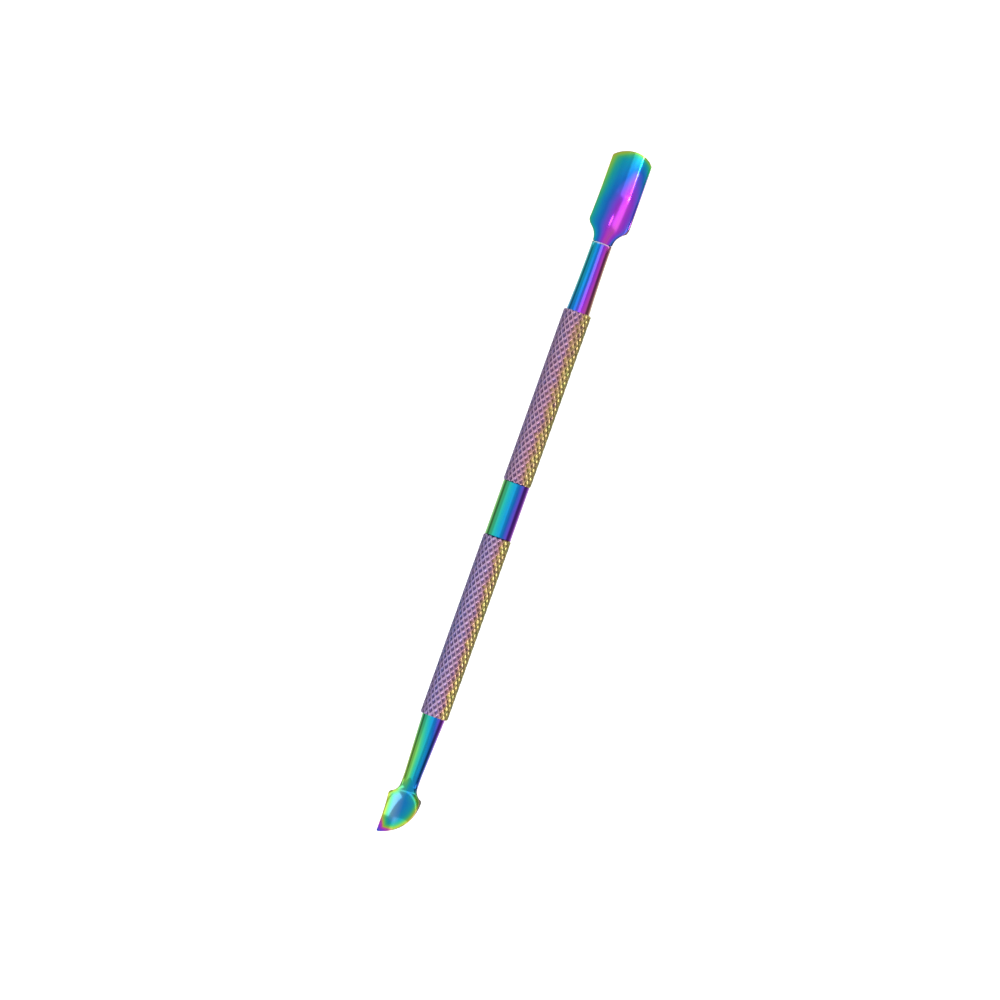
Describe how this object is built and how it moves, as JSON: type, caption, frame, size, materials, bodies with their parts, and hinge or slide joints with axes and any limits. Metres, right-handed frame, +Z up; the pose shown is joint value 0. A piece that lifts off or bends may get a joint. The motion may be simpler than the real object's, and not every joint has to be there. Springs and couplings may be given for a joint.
{
  "type": "cuticle pusher",
  "caption": "Two-ended hand tool for nail care: a shallow spoon head at one end, a hollow-ground pointed blade at the other, and a knurled round handle between them.",
  "frame": {"origin": "on the surface that the tool rests on, under the middle of its length and of its width", "axes": "+X along the tool towards the spoon head, +Z up, away from the surface; both hollow faces look up and the blade's point is on the +Y side"},
  "size_m": [0.1339, 0.0076, 0.0055],
  "materials": {
    "polished_rainbow_steel": "mirror-polished stainless steel with a rainbow oxide coating that runs from green through blue and violet to magenta",
    "knurled_rainbow_steel": "fine diamond-knurled stainless steel with a rainbow oxide coating, mauve turning to gold round the handle",
    "plain_steel": "plain turned stainless steel, hidden inside the handle"
  },
  "bodies": {
    "root": {"core_rod": "plain_steel", "upper_grip": "knurled_rainbow_steel", "centre_band": "polished_rainbow_steel", "lower_grip": "knurled_rainbow_steel", "upper_shank": "polished_rainbow_steel", "spoon_head": "polished_rainbow_steel", "blade": "polished_rainbow_steel"}
  },
  "joints": []
}
